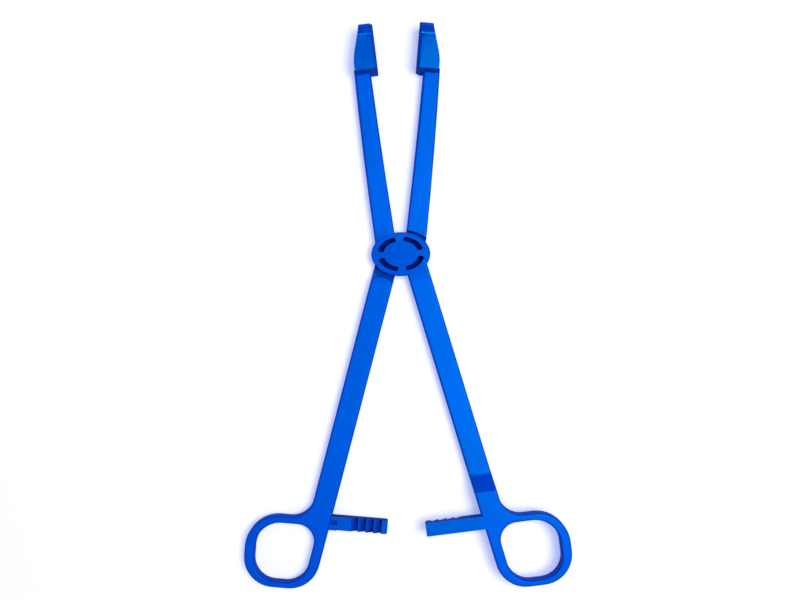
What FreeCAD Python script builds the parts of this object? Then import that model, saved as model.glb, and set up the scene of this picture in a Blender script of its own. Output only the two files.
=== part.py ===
import FreeCAD, Part
import math
import os

# Sponge forceps moulded as two crossing halves that snap together at the hub.
# Millimetres, +Z up. The origin is on the pivot axis, in the plane the forceps lie on.
# The jaws point along +Y. Each half is drawn as it lies with the jaws shut, then turned open.

# How far each half is turned from shut in the stored pose
open_half_angle = 6.0

# Arm, from the hub up to the jaw
arm_thickness = 5.4
arm_length = 78.85
arm_offset_hub = 5.59
arm_offset_mid = 6.42
arm_offset_jaw = 6.44
arm_width_hub = 8.8
arm_width_jaw = 6.9
arm_mid = 45.2
arm_round_hub = 0.8
arm_round_jaw = 1.15
arm_chamfer = 0.45
front_arm_drop = 0.2

# Jaw, with the serrated face on the centre line when shut
jaw_lap = 2.4
jaw_length = 19.7
jaw_height = 9.7
jaw_root_half = 9.25
jaw_waist_half = 8.65
jaw_waist_from_tip = 11.2
jaw_neck_half = 6.95
jaw_neck_from_tip = 5.4
jaw_tip_half = 5.68
jaw_edge_round = 0.5
jaw_root_lean = 0.9
tooth_count = 19
tooth_depth = 0.75
tooth_lap = 0.3
ridge_height = 0.6
ridge_start = 6.5
ridge_crest = 3.7
ridge_end = 1.2
lip_drop = 0.5
jaw_chamfer_width = 1.35
jaw_chamfer_depth = 0.35

# Leg, from the hub down to the finger ring
leg_angle = 9.83
leg_offset = 4.73
leg_width = 9.24
leg_edge_round = 0.8
leg_chamfer = 0.6
leg_end_round = 0.6

# Finger ring, a rounded square that leans with the leg on its inner side
hole_top = -116.4
hole_low = -141.05
hole_side = 50.7
hole_corner_leg = 7.2
hole_corner_high = 10.5
hole_corner_low = 9.4
ring_corner_high = 13.8
ring_corner_low = 12.6
band_leg = 4.5
band_side = 4.2
band_top = 2.9
band_low = 2.5
web_radius = 9.2

# The front half's handle steps up so that its ratchet lies over the other one
handle_rise = 4.2
ramp_start = -94.9
ramp_length = 7.4
ramp_soft_round = 7.0
ramp_crisp_round = 1.0
ramp_lean = 1.07

# Ratchet bars
ratchet_top = -112.1
ratchet_width = 5.45
ratchet_reach = 4.0
ratchet_gap = 0.1
ratchet_tooth_pitch = 3.3
ratchet_tooth_count = 4
ratchet_tooth_depth = 1.8
ratchet_steep_run = 0.45
ratchet_lead_run = 2.6
ratchet_crest_run = 0.35
ratchet_nose_run = 0.8
ratchet_nose_fall = 0.4
ratchet_first_crest = 2.4
ratchet_root_lap = 1.9
stop_length = 3.3
stop_width = 2.4
stop_rise = 0.8
ratchet_tip_round = 0.6
pocket_width = 1.7
pocket_depth = 1.0

# Hub: an oval cap on the front half over an oval plate on the rear half
cap_half_length = 12.35
cap_half_width = 9.15
cap_chamfer = 0.35
lap_gap = 0.1
recess_margin_x = 1.6
recess_margin_y = 1.0
leg_recess_past = 1.05
leg_recess_round = 6.4
leg_recess_side = 2.0

# Arc slots in the cap
slot_inner = 0.59
slot_outer = 0.8
slot_span = 60.0
slot_turn = 3.0
slot_end_bulge = 4.0
slot_corner = 0.6

# Snap: split stub on the front half, collar and counterbore in the rear half
stub_radius = 4.0
stub_wall = 1.3
stub_clearance = 0.05
core_radius = 1.5
slit_width = 1.0
barb_reach = 0.8
barb_height = 1.1
barb_rim = 0.3
barb_clearance = 0.1
finger_foot = 0.1
collar_wall = 1.1
pocket_floor = 1.5

# Values that follow from the ones above
lap_plane = arm_thickness / 2
mate_plane = (arm_thickness + handle_rise) / 2
leg_slope = math.tan(math.radians(leg_angle))
leg_cos = math.cos(math.radians(leg_angle))
jaw_root = arm_length - jaw_lap
jaw_tip = jaw_root + jaw_length
tooth_pitch = jaw_length / tooth_count
leg_recess_length = cap_half_width + recess_margin_y + leg_recess_past
past = 1.0
far_low = 2 * hole_low
far_side = 2 * hole_side


def point(x, y, z=0.0):
    return FreeCAD.Vector(x, y, z)


def prism(edges, bottom, top):
    """Upright solid over a closed outline that is drawn at z 0."""
    wire = Part.Wire(edges)
    face = Part.Face(wire)
    face.translate(point(0, 0, bottom))
    return face.extrude(point(0, 0, top - bottom))


def polygon_edges(points):
    closed = points + [points[0]]
    return [Part.makeLine(a, b) for a, b in zip(closed, closed[1:])]


def side_prism(yz_points, x_low, x_high):
    """Solid with a side outline given as (y, z), running along x."""
    corners = [point(x_low, y, z) for y, z in yz_points]
    face = Part.Face(Part.Wire(polygon_edges(corners)))
    return face.extrude(point(x_high - x_low, 0, 0))


def spline_edge(points):
    curve = Part.BSplineCurve()
    curve.interpolate(Points=points)
    return curve.toShape()


def is_flat(edge, height):
    box = edge.BoundBox
    return abs(box.ZMin - height) < 0.001 and abs(box.ZMax - height) < 0.001


def is_upright(edge):
    box = edge.BoundBox
    return box.ZLength > 0.5 and box.XLength < 0.001 and box.YLength < 0.001


def oval_face(half_length, half_width, height):
    """Oval in the plane z = height with its long axis along x."""
    oval = Part.Ellipse(point(0, 0, height), half_length, half_width)
    return Part.Face(Part.Wire([oval.toShape()]))


def oval_prism(half_length, half_width, bottom, top):
    return oval_face(half_length, half_width, bottom).extrude(point(0, 0, top - bottom))


def disc(radius, bottom, top):
    return Part.makeCylinder(radius, top - bottom, point(0, 0, bottom))


def make_arm(thickness):
    """Gently bowed arm on the left of the centre line."""
    mid_width = (arm_width_hub + arm_width_jaw) / 2
    stations = (
        (0.0, arm_offset_hub, arm_width_hub),
        (arm_mid, arm_offset_mid, mid_width),
        (arm_length, arm_offset_jaw, arm_width_jaw),
    )
    outer = [point(-offset - width / 2, y) for y, offset, width in stations]
    inner = [point(-offset + width / 2, y) for y, offset, width in stations]
    edges = [
        Part.Arc(*outer).toShape(),
        Part.makeLine(outer[2], inner[2]),
        Part.Arc(*inner).toShape(),
        Part.makeLine(inner[0], outer[0]),
    ]
    arm = prism(edges, 0.0, thickness)
    top = [e for e in arm.Edges if is_flat(e, thickness) and e.BoundBox.YLength > arm_length / 2]
    arm = arm.makeFillet(arm_round_hub, arm_round_jaw, top)
    low = [e for e in arm.Edges if is_flat(e, 0.0) and e.BoundBox.YLength > arm_length / 2]
    return arm.makeChamfer(arm_chamfer, low)


def tooth_points(shift):
    """Serrated edge from the root of the jaw to its tip, as a zigzag about the centre line."""
    crest = tooth_lap / 2
    valley = crest - tooth_depth
    points = [point(valley, jaw_root)]
    for step in range(2 * tooth_count):
        y = jaw_root + (step + 0.5 + shift) * tooth_pitch / 2
        if y < jaw_tip:
            points.append(point(crest if step % 2 == 0 else valley, y))
    points.append(point(valley, jaw_tip))
    return points


def jaw_side():
    """Everything under the jaw's top, which has a low rounded ridge across it near the tip."""
    start = point(0, jaw_tip - ridge_start, jaw_height)
    crest = point(0, jaw_tip - ridge_crest, jaw_height + ridge_height)
    lip = point(0, jaw_tip - ridge_end, jaw_height - lip_drop)
    edge = point(0, jaw_tip, jaw_height - lip_drop)
    root = point(0, jaw_root + jaw_root_lean, jaw_height)
    corners = [edge, point(0, jaw_tip, 0), point(0, jaw_root, 0), root, start]
    edges = [Part.makeLine(a, b) for a, b in zip(corners, corners[1:])]
    edges.append(Part.Arc(start, crest, lip).toShape())
    edges.append(Part.makeLine(lip, edge))
    face = Part.Face(Part.Wire(edges))
    face.translate(point(-jaw_root_half - past, 0, 0))
    return face.extrude(point(jaw_root_half + 2 * past, 0, 0))


def jaw_slope():
    """What the slope along the jaw's toothed edge takes off its top."""
    steep = jaw_chamfer_depth / (jaw_chamfer_width + tooth_lap / 2)
    reach = jaw_chamfer_width + past
    corners = [
        point(-jaw_chamfer_width - reach, jaw_root - past, jaw_height + steep * reach),
        point(-jaw_chamfer_width + reach, jaw_root - past, jaw_height - steep * reach),
        point(-jaw_chamfer_width + reach, jaw_root - past, jaw_height + steep * reach),
    ]
    face = Part.Face(Part.Wire(polygon_edges(corners)))
    return face.extrude(point(0, jaw_length + 2 * past, 0))


def make_jaw(shift):
    """Jaw block on the left of the centre line, with the teeth facing right."""
    teeth = tooth_points(shift)
    outer = [
        point(-jaw_tip_half, jaw_tip),
        point(-jaw_neck_half, jaw_tip - jaw_neck_from_tip),
        point(-jaw_waist_half, jaw_tip - jaw_waist_from_tip),
        point(-jaw_root_half, jaw_root),
    ]
    edges = [Part.makeLine(a, b) for a, b in zip(teeth, teeth[1:])]
    edges.append(Part.makeLine(teeth[-1], outer[0]))
    edges.append(spline_edge(outer))
    edges.append(Part.makeLine(outer[-1], teeth[0]))
    block = prism(edges, 0.0, jaw_height + 2 * ridge_height)
    block = block.common(jaw_side()).cut(jaw_slope())
    corner = [e for e in block.Edges if is_upright(e) and e.BoundBox.YMin > jaw_tip - 0.01
              and e.BoundBox.XMax < -jaw_tip_half / 2]
    return block.makeFillet(jaw_edge_round, corner)


def leg_edge_x(y, inset=0.0):
    """Where the leg's inner edge, moved into the leg by inset, crosses height y."""
    offset = leg_offset - leg_width / 2 + inset
    return offset / leg_cos - y * leg_slope


def rounded_outline(corners):
    """Closed outline through (x, y, radius) corners, each one rounded by a tangent arc."""
    stops = []
    for index, (x, y, radius) in enumerate(corners):
        corner = point(x, y)
        before = point(*corners[index - 1][:2]) - corner
        after = point(*corners[(index + 1) % len(corners)][:2]) - corner
        before.normalize()
        after.normalize()
        half = before.getAngle(after) / 2
        middle_way = before + after
        middle_way.normalize()
        run = radius / math.tan(half)
        middle = corner + middle_way * (radius / math.sin(half) - radius)
        stops.append((corner + before * run, middle, corner + after * run))
    edges = []
    for index, (start, middle, end) in enumerate(stops):
        if (end - start).Length > 0.001:
            edges.append(Part.Arc(start, middle, end).toShape())
        edges.append(Part.makeLine(end, stops[(index + 1) % len(stops)][0]))
    return edges


def handle_outline():
    """Leg and ring as one outline: the leg's inner edge runs on as the ring's inner side."""
    ring_top = hole_top + band_top
    ring_low = hole_low - band_low
    ring_side = hole_side + band_side
    return rounded_outline([
        (leg_edge_x(0.0), 0.0, 0.0),
        (leg_edge_x(ring_low), ring_low, ring_corner_low),
        (ring_side, ring_low, ring_corner_low),
        (ring_side, ring_top, ring_corner_high),
        (leg_edge_x(ring_top, leg_width), ring_top, web_radius),
        (leg_edge_x(0.0, leg_width), 0.0, 0.0),
    ])


def hole_outline():
    """Finger hole: a rounded square whose inner side leans with the leg."""
    return rounded_outline([
        (leg_edge_x(hole_top, band_leg), hole_top, hole_corner_leg),
        (leg_edge_x(hole_low, band_leg), hole_low, hole_corner_low),
        (hole_side, hole_low, hole_corner_low),
        (hole_side, hole_top, hole_corner_high),
    ])


def ramp_side(rise):
    """Side outline of the stepped handle as (y, z)."""
    foot = ramp_start - ramp_length
    return [
        (past, 0.0), (past, arm_thickness), (ramp_start, arm_thickness),
        (foot, arm_thickness + rise), (far_low, arm_thickness + rise),
        (far_low, rise), (foot - ramp_lean, rise), (ramp_start - ramp_lean, 0.0),
    ]


def make_handle(rise):
    """Leg and finger ring on the right of the centre line, stepped up by rise."""
    body = prism(handle_outline(), -past, arm_thickness + rise + past)
    body = body.cut(prism(hole_outline(), -2 * past, arm_thickness + rise + 2 * past))
    if rise > 0:
        side = side_prism(ramp_side(rise), -leg_offset, far_side)
        side = round_bends(side, rise)
    else:
        flat = [(past, 0.0), (past, arm_thickness), (far_low, arm_thickness), (far_low, 0.0)]
        side = side_prism(flat, -leg_offset, far_side)
    body = body.common(side)
    body = body.makeFillet(leg_edge_round, handle_rims(body, rise, True))
    return body.makeChamfer(leg_chamfer, handle_rims(body, rise, False))


def handle_rims(body, rise, upper):
    """The long edges round the handle's upper side, or round its underside."""
    return [
        e for e in body.Edges
        if not is_upright(e) and not lies_across(e) and e.BoundBox.YMin < -past and is_on_top(e, rise) == upper
    ]


def round_bends(side, rise):
    """Round the four bends of the ramp: soft where it leaves the leg, crisp at the handle."""
    soft = []
    crisp = []
    for e in side.Edges:
        box = e.BoundBox
        if box.XLength < hole_side or not (ramp_start - 2 * ramp_length < box.YMin < ramp_start + past):
            continue
        if box.ZMin < 0.001 or is_flat(e, arm_thickness):
            soft.append(e)
        else:
            crisp.append(e)
    side = side.makeFillet(ramp_soft_round, soft)
    crisp = [
        e for e in side.Edges
        if e.BoundBox.XLength > hole_side and abs(e.BoundBox.YLength) < 0.001
        and (is_flat(e, rise) or is_flat(e, arm_thickness + rise))
        and abs(e.BoundBox.YMin - (ramp_start - ramp_length)) < ramp_length
    ]
    return side.makeFillet(ramp_crisp_round, crisp)


def is_on_top(edge, rise):
    """Whether a rim of the handle belongs to its upper side."""
    middle = edge.valueAt((edge.FirstParameter + edge.LastParameter) / 2)
    climb = min(max((ramp_start - middle.y) / ramp_length, 0.0), 1.0)
    return middle.z - climb * rise > arm_thickness / 2


def lies_across(edge):
    """Edge that crosses the leg where the ramp bends."""
    box = edge.BoundBox
    return box.YLength < 0.001 and box.ZLength < 0.001


def ratchet_profile():
    """Side outline as (x, z) of the bar with its teeth up, from the tip back to the root."""
    crest = mate_plane - ratchet_gap / 2
    valley = crest - ratchet_tooth_depth
    root = leg_edge_x(ratchet_top - ratchet_width / 2) + ratchet_root_lap
    tip = -ratchet_reach
    ridge = tip + ratchet_first_crest
    points = [(root, 0.0), (tip, 0.0), (tip, crest - ratchet_nose_fall), (ridge - ratchet_nose_run, crest)]
    for step in range(ratchet_tooth_count):
        points.append((ridge, crest))
        points.append((ridge + ratchet_steep_run, valley))
        if step < ratchet_tooth_count - 1:
            ridge = ridge + ratchet_tooth_pitch
            points.append((ridge - ratchet_crest_run, crest))
    points.append((ridge + ratchet_steep_run + ratchet_lead_run, crest))
    points.append((root, crest))
    return points


def make_ratchet(teeth_up):
    """Ratchet bar that reaches past the centre line, below the mating plane or above it."""
    corners = [point(x, 0.0, z) for x, z in ratchet_profile()]
    face = Part.Face(Part.Wire(polygon_edges(corners)))
    face.translate(point(0, ratchet_top - ratchet_width, 0))
    bar = face.extrude(point(0, ratchet_width, 0))
    tip_corners = [e for e in bar.Edges if is_upright(e) and e.BoundBox.XMax < -ratchet_reach + 0.01]
    bar = bar.makeFillet(ratchet_tip_round, tip_corners)
    crest = mate_plane - ratchet_gap / 2
    root = leg_edge_x(ratchet_top - ratchet_width)
    stop = Part.makeBox(stop_length, stop_width, crest + stop_rise,
                        point(root - stop_length, ratchet_top - ratchet_width, 0))
    upright = [e for e in stop.Edges if is_upright(e) and e.BoundBox.YMin > ratchet_top - ratchet_width + past]
    stop = stop.makeFillet(jaw_edge_round, upright)
    pocket = Part.makeBox(stop_length, pocket_width, pocket_depth + past,
                          point(root - stop_length, ratchet_top - ratchet_width + stop_width,
                                crest - pocket_depth))
    bar = bar.cut(pocket).fuse(stop)
    if teeth_up:
        return bar
    return bar.mirror(point(0, 0, mate_plane), point(0, 0, 1))


def turned(shape, angle):
    copy = shape.copy()
    copy.rotate(point(0, 0), point(0, 0, 1), angle)
    return copy


def hub_recess(bottom, top):
    """Room for the other half's oval, and for the leg that crosses beside it."""
    oval = oval_prism(cap_half_length + recess_margin_x, cap_half_width + recess_margin_y, bottom, top)
    reach = leg_recess_length + leg_recess_side
    width = leg_width + 2 * leg_recess_side
    leg_room = Part.makeBox(width, reach, top - bottom, point(-width / 2, -reach, bottom))
    round_end = disc(leg_recess_round, bottom - past, top + past)
    round_end.translate(point(0, -leg_recess_length - leg_recess_round))
    leg_room = leg_room.cut(round_end)
    leg_room.translate(point(leg_offset, 0))
    return oval.fuse(turned(leg_room, leg_angle + open_half_angle))


def make_plan(rise, shift, teeth_up, arm_drop):
    """One half as it lies shut, with its arm on the left and its leg on the right."""
    arm = make_arm(arm_thickness - arm_drop).fuse(make_jaw(shift))
    handle = make_handle(rise).fuse(make_ratchet(teeth_up))
    return arm, handle


def slot_cutter(mid_angle):
    """One arc slot through the cap, with bowed ends and rounded corners."""
    inner = Part.Ellipse(point(0, 0), cap_half_length * slot_inner, cap_half_width * slot_inner)
    outer = Part.Ellipse(point(0, 0), cap_half_length * slot_outer, cap_half_width * slot_outer)
    start = math.radians(mid_angle - slot_span / 2)
    stop = math.radians(mid_angle + slot_span / 2)
    bulge = math.radians(slot_end_bulge)

    def end_arc(angle, side):
        first = inner.value(angle)
        last = outer.value(angle)
        middle = (inner.value(angle + side * bulge) + outer.value(angle + side * bulge)) * 0.5
        return Part.Arc(first, middle, last).toShape()

    edges = [
        Part.ArcOfEllipse(inner, start, stop).toShape(),
        end_arc(stop, 1),
        Part.ArcOfEllipse(outer, start, stop).toShape(),
        end_arc(start, -1),
    ]
    slot = prism(Part.__sortEdges__(edges), lap_plane - past, arm_thickness + past)
    return slot.makeFillet(slot_corner, [e for e in slot.Edges if is_upright(e)])


def make_stub():
    """Four barbed fingers round a core, under the cap."""
    top = lap_plane + lap_gap
    profile = [
        (stub_radius - stub_wall, top),
        (stub_radius, top),
        (stub_radius, barb_height),
        (stub_radius + barb_reach, barb_height),
        (stub_radius + barb_reach, barb_height - barb_rim),
        (stub_radius - 2 * barb_clearance, finger_foot),
        (stub_radius - stub_wall, finger_foot),
    ]
    corners = [point(r, 0, z) for r, z in profile]
    ring = Part.Face(Part.Wire(polygon_edges(corners))).revolve(point(0, 0), point(0, 0, 1), 360)
    width = 2 * (stub_radius + barb_reach + past)
    for turn in (0, 90):
        slit = Part.makeBox(width, slit_width, top, point(-width / 2, -slit_width / 2, -lap_gap))
        ring = ring.cut(turned(slit, turn + open_half_angle))
    core = disc(core_radius, 0.0, top)
    return ring.fuse(core)


def make_front_half():
    """The half on top: slotted cap, upper left arm, lower right leg with the raised handle."""
    arm, handle = make_plan(handle_rise, 0.0, False, front_arm_drop)
    body = turned(arm, open_half_angle).fuse(turned(handle, open_half_angle))
    body = body.cut(hub_recess(-past, lap_plane + lap_gap / 2))
    cap = oval_prism(cap_half_length, cap_half_width, lap_plane + lap_gap / 2, arm_thickness)
    cap = cap.makeChamfer(cap_chamfer, [e for e in cap.Edges if is_flat(e, arm_thickness)])
    body = body.fuse(cap)
    for quarter in range(4):
        body = body.cut(slot_cutter(45 + 90 * quarter + slot_turn))
    return body.fuse(make_stub()).removeSplitter()


def make_rear_half():
    """The half below: hub plate with its bore, upper right arm, lower left leg."""
    arm, handle = make_plan(0.0, 1.0, True, 0.0)
    body = turned(arm, open_half_angle).fuse(turned(handle, open_half_angle))
    body = body.cut(hub_recess(lap_plane - lap_gap / 2, arm_thickness + past))
    leg_end = [
        e for e in body.Edges
        if is_flat(e, arm_thickness) and type(e.Curve).__name__ == "Circle"
        and abs(e.Curve.Radius - leg_recess_round) < 0.001
    ]
    body = body.makeFillet(leg_end_round, leg_end)
    plate_top = lap_plane - lap_gap / 2
    plate = oval_prism(cap_half_length, cap_half_width, 0.0, plate_top)
    body = body.fuse(plate)
    bore = disc(stub_radius + stub_clearance, -past, plate_top + past)
    counterbore = disc(stub_radius + barb_reach + 3 * barb_clearance, -past, barb_height + barb_clearance)
    pocket = oval_prism(cap_half_length * slot_outer, cap_half_width * slot_outer,
                        pocket_floor, plate_top + past)
    pocket = pocket.cut(disc(stub_radius + stub_clearance + collar_wall, 0.0, plate_top + past))
    body = body.cut(bore).cut(counterbore).cut(pocket)
    return body.mirror(point(0, 0), point(1, 0, 0)).removeSplitter()


nodes = {
    "front_half": make_front_half,
    "rear_half": make_rear_half,
}

os.makedirs("parts", exist_ok=True)
for name, make in nodes.items():
    shape = make()
    print(name, "solids", len(shape.Solids), "valid", shape.isValid(), "volume", round(shape.Volume, 1))
    shape.exportStep("parts/" + name + ".step")
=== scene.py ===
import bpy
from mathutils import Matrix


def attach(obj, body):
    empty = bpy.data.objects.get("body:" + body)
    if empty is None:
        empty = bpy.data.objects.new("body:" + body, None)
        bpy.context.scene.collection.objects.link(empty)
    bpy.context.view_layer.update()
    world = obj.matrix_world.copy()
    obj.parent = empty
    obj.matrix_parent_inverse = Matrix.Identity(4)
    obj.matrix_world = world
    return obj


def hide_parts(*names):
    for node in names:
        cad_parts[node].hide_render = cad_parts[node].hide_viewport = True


bl_info = {
    "name": "Sponge Forceps",
    "version": (1, 0, 0),
    "blender": (4, 5, 0),
    "location": "View3D > Sidebar > Forceps",
    "description": "Moulded plastic sponge forceps with a snap hub, serrated jaws and ratchet bars",
    "category": "Object",
}

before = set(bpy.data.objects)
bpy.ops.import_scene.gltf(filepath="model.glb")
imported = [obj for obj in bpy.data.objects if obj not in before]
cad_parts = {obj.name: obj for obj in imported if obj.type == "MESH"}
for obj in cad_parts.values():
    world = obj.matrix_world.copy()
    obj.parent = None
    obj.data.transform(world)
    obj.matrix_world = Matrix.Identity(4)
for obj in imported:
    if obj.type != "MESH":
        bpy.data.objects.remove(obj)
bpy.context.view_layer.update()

import math

import bmesh
import bpy
from mathutils import Matrix, Vector

MM = 0.001


# Sizes and colours a user would change

class MouldingSettings(bpy.types.PropertyGroup):
    edge_softness: bpy.props.FloatProperty(
        name="Edge softness", description="Width of the small round on every crisp edge",
        default=0.12 * MM, min=0.0, unit="LENGTH")
    crisp_angle: bpy.props.FloatProperty(
        name="Crisp angle", description="Edges that bend more than this count as crisp",
        default=math.radians(28), subtype="ANGLE")
    open_angle: bpy.props.FloatProperty(
        name="Half opening", description="How far each half is turned from shut at rest",
        default=math.radians(6), subtype="ANGLE")
    jaw_root: bpy.props.FloatProperty(
        name="Jaw root", description="Distance from the pivot to the jaws' lower end",
        default=76.45 * MM, unit="LENGTH")
    jaw_tip: bpy.props.FloatProperty(
        name="Jaw tip", description="Distance from the pivot to the jaws' tips",
        default=96.15 * MM, unit="LENGTH")
    jaw_height: bpy.props.FloatProperty(
        name="Jaw height", description="Height of the jaws above the table",
        default=9.7 * MM, unit="LENGTH")
    root_lean: bpy.props.FloatProperty(
        name="Root lean", description="How far the jaws' lower end leans towards the tip",
        default=0.9 * MM, unit="LENGTH")
    leg_angle: bpy.props.FloatProperty(
        name="Leg angle", description="How far each leg leans outwards when the forceps are shut",
        default=math.radians(9.83), subtype="ANGLE")
    hub_half_width: bpy.props.FloatProperty(
        name="Hub half width", description="Half the width of the hub's oval across the forceps",
        default=12.5 * MM, unit="LENGTH")
    hub_half_length: bpy.props.FloatProperty(
        name="Hub half length", description="Half the length of the hub's oval along the forceps",
        default=9.26 * MM, unit="LENGTH")


class SerrationSettings(bpy.types.PropertyGroup):
    count: bpy.props.IntProperty(
        name="Teeth", description="Number of teeth on each jaw", default=19, min=2)
    depth: bpy.props.FloatProperty(
        name="Depth", description="Height of a tooth above its valleys",
        default=1.0 * MM, unit="LENGTH")
    lap: bpy.props.FloatProperty(
        name="Lap", description="How far the two rows reach into each other when shut",
        default=0.3 * MM, unit="LENGTH")
    crest_flat: bpy.props.FloatProperty(
        name="Crest flat", description="Half the width of a crest before it is rounded",
        default=0.1 * MM, unit="LENGTH")
    crest_round: bpy.props.FloatProperty(
        name="Crest round", description="Radius of a crest", default=0.16 * MM, unit="LENGTH")
    ridge_end: bpy.props.FloatProperty(
        name="Ridge end", description="Distance from the tip to where the ridge meets the lip",
        default=1.2 * MM, unit="LENGTH")
    lip_drop: bpy.props.FloatProperty(
        name="Lip drop", description="How far the tip's lip lies below the jaw's top",
        default=0.5 * MM, unit="LENGTH")
    slope_width: bpy.props.FloatProperty(
        name="Slope width", description="Where the slope above the teeth starts, from the centre line",
        default=1.35 * MM, unit="LENGTH")
    slope_depth: bpy.props.FloatProperty(
        name="Slope depth", description="How far the slope falls by the crests",
        default=0.35 * MM, unit="LENGTH")


class FinishSettings(bpy.types.PropertyGroup):
    arm_blue: bpy.props.FloatVectorProperty(
        name="Arm blue", description="Colour of the grained arms, legs and rings",
        default=(0.0, 0.052, 0.69), subtype="COLOR", min=0.0, max=1.0)
    jaw_blue: bpy.props.FloatVectorProperty(
        name="Jaw blue", description="Colour of the smoother jaws, hub and ratchet bars",
        default=(0.0, 0.046, 0.63), subtype="COLOR", min=0.0, max=1.0)
    # Painted shade: a darker blue on walls and rounded edges, where they turn away from the light above.
    wall_shade_blue: bpy.props.FloatVectorProperty(
        name="Edge blue", description="Colour of the walls and rounded edges",
        default=(0.0, 0.036, 0.56), subtype="COLOR", min=0.0, max=1.0)
    # Painted shade: a near-black blue down in the hub's slots and recesses and between the ratchet teeth,
    # where shade falls.
    recess_shade_blue: bpy.props.FloatVectorProperty(
        name="Deep blue", description="Colour down in the slots, recesses and ratchet valleys",
        default=(0.0, 0.0, 0.2), subtype="COLOR", min=0.0, max=1.0)
    sheen: bpy.props.FloatVectorProperty(
        name="Sheen", description="Colour of the light that the plastic mirrors from above",
        default=(0.0, 0.5, 1.0), subtype="COLOR", min=0.0, max=1.0)
    jaw_shade: bpy.props.FloatProperty(
        name="Jaw shade", description="How light the jaws are, compared with the plain colour",
        default=0.80, subtype="FACTOR")
    bar_shade: bpy.props.FloatProperty(
        name="Bar shade", description="How light the ratchet bars are, compared with the plain colour",
        default=0.92, subtype="FACTOR")
    grain_size: bpy.props.FloatProperty(
        name="Grain size", description="Distance from one grain of the mould's texture to the next",
        default=0.45 * MM, unit="LENGTH")
    grain_depth: bpy.props.FloatProperty(
        name="Grain depth", description="Height of the grain on the arms",
        default=0.02 * MM, unit="LENGTH")
    leg_grain: bpy.props.FloatProperty(
        name="Leg grain", description="How strong the grain on the legs is next to that on the arms",
        default=0.62, subtype="FACTOR")
    roughness: bpy.props.FloatProperty(
        name="Roughness", description="Roughness of the plastic", default=0.34, subtype="FACTOR")


class StageSettings(bpy.types.PropertyGroup):
    floor_size: bpy.props.FloatProperty(
        name="Floor size", description="Width of the floor", default=4.0, unit="LENGTH")
    floor_drop: bpy.props.FloatProperty(
        name="Floor drop", description="How far the floor lies below the forceps",
        default=0.05 * MM, unit="LENGTH")
    floor_colour: bpy.props.FloatVectorProperty(
        name="Floor colour", description="Colour that the floor scatters",
        default=(0.86, 0.78, 0.66), subtype="COLOR", min=0.0, max=1.0)
    glow_colour: bpy.props.FloatVectorProperty(
        name="Glow colour", description="Colour of the light that is added to the floor",
        default=(0.32, 0.46, 1.0), subtype="COLOR", min=0.0, max=1.0)
    floor_glow: bpy.props.FloatProperty(
        name="Floor glow", description="Strength of the light that is added so that the floor shows white",
        default=0.62)
    key_power: bpy.props.FloatProperty(
        name="Key light", description="Power of the square lamp on the right", default=4.9, unit="POWER")
    upper_power: bpy.props.FloatProperty(
        name="Upper light", description="Power of the broad lamp above the arms", default=2.2, unit="POWER")
    lower_power: bpy.props.FloatProperty(
        name="Lower light", description="Power of the broad lamp above the legs", default=1.5, unit="POWER")
    sky: bpy.props.FloatProperty(
        name="Sky", description="Strength of the even light from all sides", default=0.34)
    camera_place: bpy.props.FloatVectorProperty(
        name="Camera place", description="Where the camera stands", unit="LENGTH",
        default=(-0.74 * MM, -19.24 * MM, 360.4 * MM))
    camera_turn: bpy.props.FloatProperty(
        name="Camera turn", description="How far the camera is turned about its line of sight",
        default=math.radians(-1.2), subtype="ANGLE")
    lens: bpy.props.FloatProperty(
        name="Lens", description="Focal length in millimetres on a 36 mm sensor", default=38.2)


# Where one finish of the plastic fades into the next, from the pivot along a half's shut plan

HUB_TO_ARM = (7 * MM, 13 * MM)
LEG_TO_HUB = (-14 * MM, -9 * MM)
BAR_TO_LEG = (-110.9 * MM, -110.4 * MM)

# The same, from the jaw's root and from the leg's inner side

ARM_TO_ROOT = (-0.35 * MM, -0.15 * MM)
ROOT_TO_JAW = 0.5 * MM
BAR_TO_SIDE = (-0.3 * MM, 0.2 * MM)

# Where the painted shade in the hub's recesses and between the ratchet teeth fades in, in heights above the
# table and in shares of the hub's oval

RECESS_FALL = (4.9 * MM, 3.9 * MM)
VALLEY_FALL = (4.7 * MM, 3.1 * MM)
LIT_UNDERSIDE = (0.9 * MM, 1.3 * MM)
HUB_SURROUND = (1.2, 1.5)
HUB_RIM = (0.85, 1.0)

# From walls to level faces, by how far a face points up or down; this sets where the painted shade on walls
# and rounded edges fades out

WALL_TO_TOP = (0.88, 0.995)

# How strong each painted shade, speckle and polish is

VALLEY_SHADE = 0.95
RIM_SHADE = 0.75
SPECKLE = (0.05, 0.22)
CLOUD = 0.06
STREAK = 0.025
GRAIN_ROUGHNESS = (-0.07, 0.09)
POLISHED = -0.10
GRAINED = 0.06
JAW_POLISH = 0.04
DULL = 0.88
SMOOTH_RELIEF = 0.25
PIT_DEPTH = 0.4
BUMP = 0.55

# Sizes of the textures, and the part of their values that is used

CLOUDS_PER_METRE = 42.0
STREAKS_PER_METRE = (260.0, 22.0, 120.0)
PIT_SPACING = 1.25
GRAIN_RANGE = (0.34, 0.68)
NOISE_RANGE = (0.3, 0.7)
PIT_RANGE = (0.05, 0.5)

# Lamps, in metres

LAMPS = {
    "key_lamp": {
        "place": (0.42, -0.03, 0.95),
        "target": (0.0, -0.02, 0.0),
        "size": (0.40, 0.40),
        "power": "key_power",
    },
    "upper_lamp": {
        "place": (0.19, 0.255, 1.0),
        "target": (0.19, 0.255, 0.0),
        "size": (0.45, 0.10),
        "power": "upper_power",
    },
    "lower_lamp": {
        "place": (0.15, -0.25, 1.0),
        "target": (0.15, -0.25, 0.0),
        "size": (0.52, 0.24),
        "power": "lower_power",
    },
}

# Values for the work on meshes

WELD = 1e-6
TINY = 1e-7
CREST_POINTS = 4
JAW_MARGIN = 2 * MM
TOOTH_MARGIN = 0.002 * MM
SAME_DIRECTION = 0.9998
FLAT_ENOUGH = math.radians(0.2)


# Node helpers

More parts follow.
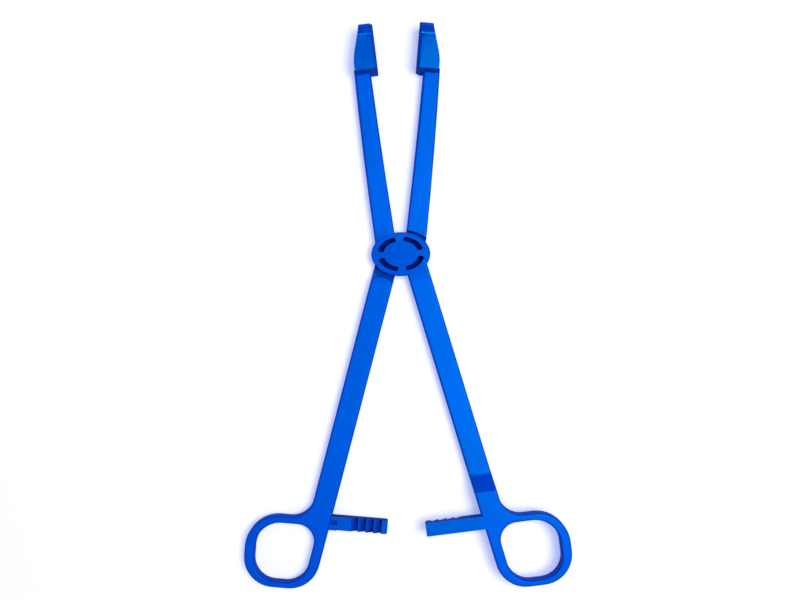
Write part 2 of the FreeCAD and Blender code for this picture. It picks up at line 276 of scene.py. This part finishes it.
def socket_for(node, key):
    """An input by its place, as in i2, or by its name with underscores for spaces."""
    if key[0] == "i" and key[1:].isdigit():
        return node.inputs[int(key[1:])]
    return node.inputs[key.replace("_", " ")]


def wire(tree, node_type, settings=None, **inputs):
    """Adds a node, sets its options and plain inputs, and links the inputs that are sockets."""
    node = tree.nodes.new(node_type)
    for key, value in (settings or {}).items():
        setattr(node, key, value)
    for key, value in inputs.items():
        if isinstance(value, bpy.types.NodeSocket):
            tree.links.new(value, socket_for(node, key))
        else:
            socket_for(node, key).default_value = value
    return node


def math_node(tree, operation, first, second=0.0, clamp=False):
    node = wire(tree, "ShaderNodeMath", {"operation": operation, "use_clamp": clamp}, i0=first, i1=second)
    return node.outputs[0]


def ramp(tree, value, start, end, low=0.0, high=1.0, kind="SMOOTHSTEP"):
    node = wire(tree, "ShaderNodeMapRange", {"interpolation_type": kind, "clamp": True},
                i0=value, i1=start, i2=end, i3=low, i4=high)
    return node.outputs[0]


def mixed(tree, share, first, second):
    """One colour faded into another."""
    node = wire(tree, "ShaderNodeMix", {"data_type": "RGBA"}, i0=share, i6=first, i7=second)
    return node.outputs[2]


# Plastic

def plan_masks(tree, plan):
    """Where a half is jaw, where it is ratchet bar, and how grained its mould is, each from 0 to 1."""
    moulding = bpy.context.scene.forceps_moulding
    finish = bpy.context.scene.forceps_finish
    split = wire(tree, "ShaderNodeSeparateXYZ", Vector=plan)
    along = split.outputs["Y"]
    slant = math_node(tree, "MULTIPLY", along, math.tan(moulding.leg_angle))
    past_leg = math_node(tree, "ADD", split.outputs["X"], slant)
    far_down = ramp(tree, along, *BAR_TO_LEG, 1.0, 0.0)
    bar = math_node(tree, "MULTIPLY", far_down, ramp(tree, past_leg, *BAR_TO_SIDE, 1.0, 0.0))
    root_start, root_end = (moulding.jaw_root + step for step in ARM_TO_ROOT)
    below_jaw = ramp(tree, along, root_start, root_end, 1.0, 0.0)
    arm = math_node(tree, "MULTIPLY", ramp(tree, along, *HUB_TO_ARM), below_jaw)
    below_hub = ramp(tree, along, *LEG_TO_HUB, 1.0, 0.0)
    leg = math_node(tree, "MULTIPLY", below_hub, ramp(tree, bar, 0.0, 1.0, finish.leg_grain, 0.0))
    jaw = ramp(tree, along, moulding.jaw_root, moulding.jaw_root + ROOT_TO_JAW)
    return {"jaw": jaw, "bar": bar, "grained": math_node(tree, "ADD", arm, leg, clamp=True)}


def recess_shade_mask(tree, plan, bar):
    """Where painted shade goes down in the hub's slots and recesses and between ratchet teeth: how far down a
    place lies there, from 0 to 1.
    """
    moulding = bpy.context.scene.forceps_moulding
    height = wire(tree, "ShaderNodeSeparateXYZ", Vector=plan).outputs["Z"]
    to_oval = (1 / moulding.hub_half_width, 1 / moulding.hub_half_length, 0.0)
    oval = wire(tree, "ShaderNodeVectorMath", {"operation": "MULTIPLY"}, i0=plan, i1=to_oval)
    reach = wire(tree, "ShaderNodeVectorMath", {"operation": "LENGTH"}, i0=oval.outputs[0]).outputs["Value"]
    near_hub = ramp(tree, reach, *HUB_SURROUND, 1.0, 0.0)
    hub = math_node(tree, "MULTIPLY", near_hub, ramp(tree, reach, *HUB_RIM, 1.0, RIM_SHADE))
    in_hub = math_node(tree, "MULTIPLY", hub, ramp(tree, height, *RECESS_FALL))
    in_bar = math_node(tree, "MULTIPLY", bar, ramp(tree, height, *VALLEY_FALL, 0.0, VALLEY_SHADE))
    above_table = ramp(tree, height, *LIT_UNDERSIDE)
    return math_node(tree, "MULTIPLY", math_node(tree, "MAXIMUM", in_hub, in_bar), above_table)


def top_mask(tree):
    """1 on level faces, 0 on walls."""
    facing = wire(tree, "ShaderNodeSeparateXYZ", Vector=wire(tree, "ShaderNodeNewGeometry").outputs["Normal"])
    return ramp(tree, math_node(tree, "ABSOLUTE", facing.outputs["Z"]), *WALL_TO_TOP)


def lightness(tree, place, plan, grain, masks):
    """Speckle of the grain, soft clouds, streaks along the flow, and the darker jaws and ratchet bars."""
    finish = bpy.context.scene.forceps_finish
    cloud = wire(tree, "ShaderNodeTexNoise", Vector=place, Scale=CLOUDS_PER_METRE, Detail=2.0, Roughness=0.5)
    stretched = wire(tree, "ShaderNodeMapping", Vector=plan, Scale=STREAKS_PER_METRE)
    streak = wire(tree, "ShaderNodeTexNoise", Vector=stretched.outputs[0], Scale=1.0, Detail=2.0)
    grain_tone = ramp(tree, grain, *GRAIN_RANGE, -0.5, 0.5, "LINEAR")
    strength = ramp(tree, masks["grained"], 0.0, 1.0, *SPECKLE, "LINEAR")
    speckle = math_node(tree, "MULTIPLY", grain_tone, strength)
    drift = ramp(tree, cloud.outputs[0], *NOISE_RANGE, -CLOUD, CLOUD)
    flow = ramp(tree, streak.outputs[0], *NOISE_RANGE, -STREAK, STREAK)
    tone = math_node(tree, "ADD", math_node(tree, "ADD", speckle, drift), flow)
    jaw_shade = ramp(tree, masks["jaw"], 0.0, 1.0, 1.0, finish.jaw_shade, "LINEAR")
    bar_shade = ramp(tree, masks["bar"], 0.0, 1.0, 1.0, finish.bar_shade, "LINEAR")
    shade = math_node(tree, "MULTIPLY", jaw_shade, bar_shade)
    return math_node(tree, "MULTIPLY", math_node(tree, "ADD", tone, 1.0), shade)


def plastic_colour(tree, masks, top, depth, light):
    finish = bpy.context.scene.forceps_finish
    blue = mixed(tree, masks["grained"], (*finish.jaw_blue, 1.0), (*finish.arm_blue, 1.0))
    # Painted shade: walls and rounded edges take the darker wall blue, as where they turn away from the light
    # above.
    with_wall_shade = mixed(tree, top, (*finish.wall_shade_blue, 1.0), blue)
    # Painted shade: down in the hub's slots and recesses and between the ratchet teeth the colour fades to
    # the near-black recess blue.
    with_recess_shade = mixed(tree, depth, with_wall_shade, (*finish.recess_shade_blue, 1.0))
    scaled = wire(tree, "ShaderNodeVectorMath", {"operation": "SCALE"}, i0=with_recess_shade, Scale=light)
    return scaled.outputs[0]


def plastic_roughness(tree, grain, masks, top, depth):
    """Smoother where the mould is polished, dull on walls and down in the recesses."""
    roughness = bpy.context.scene.forceps_finish.roughness
    shift = ramp(tree, grain, *NOISE_RANGE, *GRAIN_ROUGHNESS, "LINEAR")
    on_top = ramp(tree, masks["grained"], 0.0, 1.0, roughness + POLISHED, roughness + GRAINED)
    on_top = math_node(tree, "SUBTRACT", on_top, math_node(tree, "MULTIPLY", masks["jaw"], JAW_POLISH))
    dull = math_node(tree, "MAXIMUM", math_node(tree, "SUBTRACT", 1.0, top), depth)
    even = math_node(tree, "MAXIMUM", on_top, math_node(tree, "MULTIPLY", dull, DULL))
    return math_node(tree, "ADD", shift, even)


def plastic_relief(tree, place, grain, grained):
    """The grain as a bump: soft noise with pits, strong on arms, legs and rings and faint elsewhere."""
    finish = bpy.context.scene.forceps_finish
    pits = wire(tree, "ShaderNodeTexVoronoi", {"feature": "F1"}, Vector=place,
                Scale=1.0 / (PIT_SPACING * finish.grain_size), Randomness=1.0)
    pit_height = ramp(tree, pits.outputs[0], *PIT_RANGE)
    relief = math_node(tree, "ADD", grain, math_node(tree, "MULTIPLY", pit_height, PIT_DEPTH))
    relief = math_node(tree, "MULTIPLY", relief, ramp(tree, grained, 0.0, 1.0, SMOOTH_RELIEF, 1.0, "LINEAR"))
    return wire(tree, "ShaderNodeBump", Strength=BUMP, Distance=finish.grain_depth, Height=relief).outputs[0]


def make_plastic(name, mirrored):
    """Moulded blue plastic, grained on arms, legs and rings, smoother on jaws, hub and ratchet bars, with
    painted shade on walls, rounded edges, hub recesses and ratchet valleys.
    """
    finish = bpy.context.scene.forceps_finish
    moulding = bpy.context.scene.forceps_moulding
    material = bpy.data.materials.new(name)
    material.use_nodes = True
    tree = material.node_tree
    tree.nodes.clear()
    place = wire(tree, "ShaderNodeTexCoord").outputs["Object"]
    sides = (-1.0, 1.0, 1.0) if mirrored else (1.0, 1.0, 1.0)
    shut = wire(tree, "ShaderNodeMapping", {"vector_type": "POINT"}, Vector=place,
                Rotation=(0.0, 0.0, -moulding.open_angle), Scale=sides)
    plan = shut.outputs[0]
    grain = wire(tree, "ShaderNodeTexNoise", Vector=place, Scale=1.0 / finish.grain_size,
                 Detail=3.0, Roughness=0.65).outputs[0]
    masks = plan_masks(tree, plan)
    # depth marks the painted shade down in the hub's recesses and between the ratchet teeth, and also dulls
    # the roughness there.
    depth = recess_shade_mask(tree, plan, masks["bar"])
    # top is 0 on walls and rounded edges, which take painted shade in the colour and a duller roughness.
    top = top_mask(tree)
    light = lightness(tree, place, plan, grain, masks)
    shader = wire(tree, "ShaderNodeBsdfPrincipled",
                  Base_Color=plastic_colour(tree, masks, top, depth, light),
                  Roughness=plastic_roughness(tree, grain, masks, top, depth),
                  Specular_IOR_Level=1.0, Specular_Tint=(*finish.sheen, 1.0),
                  Normal=plastic_relief(tree, place, grain, masks["grained"]))
    wire(tree, "ShaderNodeOutputMaterial", Surface=shader.outputs[0])
    return material


def plastic_for(body):
    name = "grained_" + body.replace("_half", "_blue")
    return bpy.data.materials.get(name) or make_plastic(name, body == "rear_half")


def add_piece(name, mesh, body):
    piece = bpy.data.objects.new(name, mesh)
    bpy.context.scene.collection.objects.link(piece)
    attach(piece, body)
    return piece


def plan_turn(body):
    """Matrix from a half's shut plan, with its jaw on the left, to where the half is at rest."""
    angle = bpy.context.scene.forceps_moulding.open_angle
    turned = Matrix.Rotation(angle, 4, "Z")
    if body == "rear_half":
        return Matrix.Scale(-1.0, 4, Vector((1.0, 0.0, 0.0))) @ turned
    return turned


# Mesh helpers

def as_mesh(mould, name):
    mesh = bpy.data.meshes.new(name)
    mould.to_mesh(mesh)
    mould.free()
    return mesh


def finished_mesh(piece):
    """The plain mesh of a piece with its modifiers applied; the piece itself is removed."""
    graph = bpy.context.evaluated_depsgraph_get()
    mesh = bpy.data.meshes.new_from_object(piece.evaluated_get(graph), depsgraph=graph)
    bpy.data.objects.remove(piece)
    return mesh


def cut_off(mould, faces, point, outward):
    """Takes away what lies past a plane, among some faces, closes the cut and returns its rims."""
    parts = set(faces)
    for face in faces:
        parts.update(face.verts)
        parts.update(face.edges)
    bmesh.ops.bisect_plane(mould, geom=list(parts), dist=TINY, plane_co=point, plane_no=outward.normalized(),
                           clear_outer=True)
    rims = [edge for edge in mould.edges if edge.is_boundary]
    bmesh.ops.holes_fill(mould, edges=rims, sides=0)
    return rims


# Jaw teeth

TOOTH_INPUTS = ("Count", "Start", "Pitch", "Crest", "Root", "Crest flat", "Crest round", "Height",
                "Slope start", "Slope", "Lip", "Lip start", "Material")


def flat_point(tree, x, y):
    return wire(tree, "ShaderNodeCombineXYZ", X=x, Y=y).outputs[0]


def here(tree):
    """Coordinates of each point of the geometry, as sockets."""
    position = wire(tree, "GeometryNodeInputPosition").outputs[0]
    return wire(tree, "ShaderNodeSeparateXYZ", Vector=position).outputs


def one_tooth(tree, given):
    """A closed upright tooth that points to +X, with a rounded crest."""
    half_root = math_node(tree, "MULTIPLY", given["Pitch"], 0.5)
    low_root = math_node(tree, "MULTIPLY", half_root, -1.0)
    low_flat = math_node(tree, "MULTIPLY", given["Crest flat"], -1.0)
    outline = wire(tree, "GeometryNodeCurvePrimitiveQuadrilateral", {"mode": "POINTS"},
                   Point_1=flat_point(tree, given["Root"], low_root),
                   Point_2=flat_point(tree, given["Crest"], low_flat),
                   Point_3=flat_point(tree, given["Crest"], given["Crest flat"]),
                   Point_4=flat_point(tree, given["Root"], half_root))
    middle = math_node(tree, "MULTIPLY", math_node(tree, "ADD", given["Root"], given["Crest"]), 0.5)
    at_crest = math_node(tree, "GREATER_THAN", here(tree)["X"], middle)
    radius = math_node(tree, "MULTIPLY", at_crest, given["Crest round"])
    rounded = wire(tree, "GeometryNodeFilletCurve", {"mode": "POLY"}, Curve=outline.outputs[0],
                   Count=CREST_POINTS, Radius=radius, Limit_Radius=True)
    filled = wire(tree, "GeometryNodeFillCurve", Curve=rounded.outputs[0])
    up = wire(tree, "ShaderNodeCombineXYZ", Z=given["Height"]).outputs[0]
    raised = wire(tree, "GeometryNodeExtrudeMesh", Mesh=filled.outputs[0], Offset=up,
                  Offset_Scale=1.0, Individual=False)
    under = wire(tree, "GeometryNodeFlipFaces", Mesh=filled.outputs[0])
    closed = wire(tree, "GeometryNodeJoinGeometry")
    tree.links.new(raised.outputs[0], closed.inputs[0])
    tree.links.new(under.outputs[0], closed.inputs[0])
    return wire(tree, "GeometryNodeMergeByDistance", Geometry=closed.outputs[0], Distance=WELD).outputs[0]


def row_of(tree, tooth, given):
    """The tooth repeated along +Y, as real geometry."""
    line = wire(tree, "GeometryNodeMeshLine", {"mode": "OFFSET"}, Count=given["Count"],
                Start_Location=flat_point(tree, 0.0, given["Start"]),
                Offset=flat_point(tree, 0.0, given["Pitch"]))
    row = wire(tree, "GeometryNodeInstanceOnPoints", Points=line.outputs[0], Instance=tooth)
    return wire(tree, "GeometryNodeRealizeInstances", Geometry=row.outputs[0]).outputs[0]


def under_jaw_top(tree, row, given):
    """The row with its upper ends brought down to the jaw's slope and lip."""
    place = here(tree)
    past_start = math_node(tree, "ADD", place["X"], given["Slope start"])
    slope_fall = math_node(tree, "MULTIPLY", math_node(tree, "MAXIMUM", past_start, 0.0), given["Slope"])
    slope_top = math_node(tree, "SUBTRACT", given["Height"], slope_fall)
    on_lip = math_node(tree, "GREATER_THAN", place["Y"], given["Lip start"])
    lip_fall = math_node(tree, "MULTIPLY", on_lip, given["Lip"])
    lip_top = math_node(tree, "SUBTRACT", given["Height"], lip_fall)
    level = math_node(tree, "MINIMUM", slope_top, lip_top)
    half_height = math_node(tree, "MULTIPLY", given["Height"], 0.5)
    upper = math_node(tree, "GREATER_THAN", place["Z"], half_height)
    target = wire(tree, "ShaderNodeCombineXYZ", X=place["X"], Y=place["Y"], Z=level).outputs[0]
    return wire(tree, "GeometryNodeSetPosition", Geometry=row, Selection=upper, Position=target).outputs[0]


def tooth_row_tree():
    """Node tree for a row of upright teeth with rounded crests, under a top with a slope and a lip."""
    tree = bpy.data.node_groups.new("Tooth row", "GeometryNodeTree")
    tree.is_modifier = True
    tree.interface.new_socket("Geometry", in_out="OUTPUT", socket_type="NodeSocketGeometry")
    kinds = {"Count": "NodeSocketInt", "Material": "NodeSocketMaterial"}
    for name in TOOTH_INPUTS:
        tree.interface.new_socket(name, in_out="INPUT", socket_type=kinds.get(name, "NodeSocketFloat"))
    given = wire(tree, "NodeGroupInput").outputs
    row = row_of(tree, one_tooth(tree, given), given)
    shaped = under_jaw_top(tree, row, given)
    dressed = wire(tree, "GeometryNodeSetMaterial", Geometry=shaped, Material=given["Material"])
    wire(tree, "NodeGroupOutput", Geometry=dressed.outputs[0])
    return tree


def crest_line():
    """How far past the centre line the crests reach when shut."""
    return bpy.context.scene.forceps_serration.lap / 2


def root_line():
    """Where a jaw is cut along the bottom of its teeth, from the centre line."""
    return crest_line() - bpy.context.scene.forceps_serration.depth


def slope_steepness():
    """Fall of the slope above the teeth over its width."""
    teeth = bpy.context.scene.forceps_serration
    return teeth.slope_depth / (teeth.slope_width + crest_line())


def raw_tooth_row(body):
    """One jaw's row of teeth in the shut plan. The two rows are half a pitch apart, so that they mesh."""
    tree = bpy.data.node_groups.get("Tooth row") or tooth_row_tree()
    moulding = bpy.context.scene.forceps_moulding
    teeth = bpy.context.scene.forceps_serration
    pitch = (moulding.jaw_tip - moulding.jaw_root) / teeth.count
    first = 0.25 if body == "front_half" else 0.75
    values = {
        "Count": teeth.count, "Start": moulding.jaw_root + first * pitch, "Pitch": pitch,
        "Crest": crest_line(), "Root": root_line(), "Crest flat": teeth.crest_flat,
        "Crest round": teeth.crest_round, "Height": moulding.jaw_height,
        "Slope start": teeth.slope_width, "Slope": slope_steepness(),
        "Lip": teeth.lip_drop, "Lip start": moulding.jaw_tip - teeth.ridge_end,
        "Material": plastic_for(body),
    }
    maker = bpy.data.objects.new("tooth_row_maker", bpy.data.meshes.new("tooth_row_maker"))
    bpy.context.scene.collection.objects.link(maker)
    modifier = maker.modifiers.new("Tooth row", "NODES")
    modifier.node_group = tree
    for item in tree.interface.items_tree:
        if item.in_out == "INPUT":
            modifier[item.identifier] = values[item.name]
    return finished_mesh(maker)


def make_jaw_teeth(body):
    """One jaw's row of teeth, cut at the jaw's ends and set on the face that the trimmed half leaves."""
    moulding = bpy.context.scene.forceps_moulding
    row = bmesh.new()
    row.from_mesh(raw_tooth_row(body))
    past_root = Vector((0.0, -moulding.jaw_height, moulding.root_lean))
    cut_off(row, list(row.faces), Vector((0.0, moulding.jaw_root, 0.0)), past_root)
    cut_off(row, list(row.faces), Vector((0.0, moulding.jaw_tip, 0.0)), Vector((0.0, 1.0, 0.0)))
    bmesh.ops.dissolve_degenerate(row, edges=row.edges, dist=TINY)
    bmesh.ops.transform(row, matrix=plan_turn(body), verts=row.verts)
    bmesh.ops.recalc_face_normals(row, faces=row.faces)
    return as_mesh(row, "tooth_row")


# Halves

def merged_copy(body):
    """A copy of a packed half's mesh, with its loose triangles joined."""
    mould = bmesh.new()
    mould.from_mesh(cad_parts[body].data)
    bmesh.ops.remove_doubles(mould, verts=mould.verts, dist=WELD)
    bmesh.ops.dissolve_degenerate(mould, edges=mould.edges, dist=TINY)
    return mould


def trim_teeth(mould, body):
    """Cuts the jaw back to the bottom of its teeth, so that the finer teeth can be set on it."""
    moulding = bpy.context.scene.forceps_moulding
    turn = plan_turn(body)
    point = turn @ Vector((root_line(), moulding.jaw_root, 0.0))
    outward = turn.to_3x3() @ Vector((1.0, 0.0, 0.0))
    near = moulding.jaw_root - JAW_MARGIN
    faces = [face for face in mould.faces if face.calc_center_median().y > near]
    if not cut_off(mould, faces, point, outward):
        raise RuntimeError("The teeth of " + body + " weren't cut")


def mark_edges(mould, body):
    """Marks the edges that stay sharp, and those outside the teeth that get a small round."""
    moulding = bpy.context.scene.forceps_moulding
    back = plan_turn(body).inverted()
    slope = (plan_turn(body).to_3x3() @ Vector((slope_steepness(), 0.0, 1.0))).normalized()
    tooth_root = root_line() - TOOTH_MARGIN
    weights = mould.edges.layers.float.new("bevel_weight_edge")
    for edge in mould.edges:
        crisp = len(edge.link_faces) != 2 or edge.calc_face_angle(0.0) > moulding.crisp_angle
        ends = [back @ corner.co for corner in edge.verts]
        in_teeth = all(end.x > tooth_root and end.y > moulding.jaw_root / 2 for end in ends)
        on_slope = [face.normal.dot(slope) > SAME_DIRECTION for face in edge.link_faces]
        beside_slope = any(on_slope) and not all(on_slope)
        edge.smooth = not (crisp or beside_slope)
        edge[weights] = 1.0 if crisp and not in_teeth else 0.0


def soften(piece):
    """Rounds the weighted edges and evens out the shading of the flats."""
    rounds = piece.modifiers.new("Soft edges", "BEVEL")
    rounds.width = bpy.context.scene.forceps_moulding.edge_softness
    rounds.segments = 2
    rounds.limit_method = "WEIGHT"
    rounds.harden_normals = False
    level = piece.modifiers.new("Even shading", "WEIGHTED_NORMAL")
    level.keep_sharp = True
    level.weight = 80


def dress_half(body):
    """Turns a packed half into a clean mesh with its row of teeth and small rounds on its crisp edges."""
    mould = merged_copy(body)
    trim_teeth(mould, body)
    bmesh.ops.dissolve_limit(mould, angle_limit=FLAT_ENOUGH, verts=mould.verts, edges=mould.edges)
    mould.from_mesh(make_jaw_teeth(body))
    for face in mould.faces:
        face.smooth = True
        face.material_index = 0
    mark_edges(mould, body)
    mesh = as_mesh(mould, body + "_moulding")
    mesh.materials.clear()
    mesh.materials.append(plastic_for(body))
    piece = add_piece(body + "_moulding", mesh, body)
    soften(piece)
    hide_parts(body)
    return piece


class FORCEPS_OT_front_half(bpy.types.Operator):
    """Make the upper half: slotted cap, left arm, right leg and its raised ring"""
    bl_idname = "forceps.front_half"
    bl_label = "Front half"

    def execute(self, context):
        dress_half("front_half")
        return {"FINISHED"}


class FORCEPS_OT_rear_half(bpy.types.Operator):
    """Make the lower half: hub plate, right arm, left leg and its ring"""
    bl_idname = "forceps.rear_half"
    bl_label = "Rear half"

    def execute(self, context):
        dress_half("rear_half")
        return {"FINISHED"}


# Stage

def floor_paint():
    """Pale paint with a glow that only cameras, mirrors and glass see, so that it lights nothing."""
    stage = bpy.context.scene.forceps_stage
    material = bpy.data.materials.new("pale_floor")
    material.use_nodes = True
    tree = material.node_tree
    tree.nodes.clear()
    path = wire(tree, "ShaderNodeLightPath").outputs
    seen = math_node(tree, "MAXIMUM", path["Is Camera Ray"], path["Is Glossy Ray"])
    seen = math_node(tree, "MAXIMUM", seen, path["Is Transmission Ray"])
    glow = math_node(tree, "MULTIPLY", seen, stage.floor_glow)
    plain = wire(tree, "ShaderNodeBsdfDiffuse", Color=(*stage.floor_colour, 1.0))
    light = wire(tree, "ShaderNodeEmission", Color=(*stage.glow_colour, 1.0), Strength=glow)
    both = wire(tree, "ShaderNodeAddShader", i0=plain.outputs[0], i1=light.outputs[0])
    wire(tree, "ShaderNodeOutputMaterial", Surface=both.outputs[0])
    return material


def make_floor():
    stage = bpy.context.scene.forceps_stage
    half = stage.floor_size / 2
    corners = [(-half, -half), (half, -half), (half, half), (-half, half)]
    mesh = bpy.data.meshes.new("floor")
    mesh.from_pydata([(x, y, -stage.floor_drop) for x, y in corners], [], [(0, 1, 2, 3)])
    mesh.materials.append(floor_paint())
    floor = bpy.data.objects.new("floor", mesh)
    bpy.context.scene.collection.objects.link(floor)


def make_lamp(name, place, target, size, power):
    lamp = bpy.data.lights.new(name, "AREA")
    lamp.shape = "RECTANGLE"
    lamp.size, lamp.size_y = size
    lamp.energy = getattr(bpy.context.scene.forceps_stage, power)
    holder = bpy.data.objects.new(name, lamp)
    holder.location = place
    holder.rotation_euler = (Vector(place) - Vector(target)).to_track_quat("Z", "Y").to_euler()
    bpy.context.scene.collection.objects.link(holder)


def make_even_light():
    world = bpy.data.worlds.new("even_light")
    world.use_nodes = True
    tree = world.node_tree
    tree.nodes.clear()
    strength = bpy.context.scene.forceps_stage.sky
    sky = wire(tree, "ShaderNodeBackground", Color=(1.0, 1.0, 1.0, 1.0), Strength=strength)
    wire(tree, "ShaderNodeOutputWorld", Surface=sky.outputs[0])
    bpy.context.scene.world = world


def make_camera():
    stage = bpy.context.scene.forceps_stage
    lens = bpy.data.cameras.new("camera")
    lens.lens = stage.lens
    lens.sensor_width = 36.0
    lens.clip_start = 0.01
    lens.clip_end = 20.0
    camera = bpy.data.objects.new("camera", lens)
    camera.location = stage.camera_place
    camera.rotation_euler = (0.0, 0.0, stage.camera_turn)
    bpy.context.scene.collection.objects.link(camera)
    bpy.context.scene.camera = camera


class FORCEPS_OT_stage(bpy.types.Operator):
    """Make the floor, the lamps, the even light and the camera"""
    bl_idname = "forceps.stage"
    bl_label = "Stage"

    def execute(self, context):
        make_floor()
        for name, lamp in LAMPS.items():
            make_lamp(name, **lamp)
        make_even_light()
        context.scene.view_settings.view_transform = "Standard"
        make_camera()
        return {"FINISHED"}


class FORCEPS_PT_panel(bpy.types.Panel):
    """Buttons and sizes for the forceps"""
    bl_idname = "FORCEPS_PT_panel"
    bl_label = "Sponge forceps"
    bl_space_type = "VIEW_3D"
    bl_region_type = "UI"
    bl_category = "Forceps"

    def draw(self, context):
        for operator in OPERATORS:
            self.layout.operator(operator.bl_idname)
        for name in SETTINGS:
            box = self.layout.box()
            group = getattr(context.scene, name)
            for key in group.bl_rna.properties.keys():
                if key not in ("rna_type", "name"):
                    box.prop(group, key)


SETTINGS = {
    "forceps_moulding": MouldingSettings,
    "forceps_serration": SerrationSettings,
    "forceps_finish": FinishSettings,
    "forceps_stage": StageSettings,
}
OPERATORS = (FORCEPS_OT_front_half, FORCEPS_OT_rear_half, FORCEPS_OT_stage)


def register():
    for name, group in SETTINGS.items():
        bpy.utils.register_class(group)
        setattr(bpy.types.Scene, name, bpy.props.PointerProperty(type=group))
    for item in OPERATORS + (FORCEPS_PT_panel,):
        bpy.utils.register_class(item)


def unregister():
    for item in reversed(OPERATORS + (FORCEPS_PT_panel,)):
        bpy.utils.unregister_class(item)
    for name, group in SETTINGS.items():
        delattr(bpy.types.Scene, name)
        bpy.utils.unregister_class(group)


def main():
    register()
    for operator in OPERATORS:
        area, name = operator.bl_idname.split(".")
        getattr(getattr(bpy.ops, area), name)()


if __name__ == "__main__":
    main()
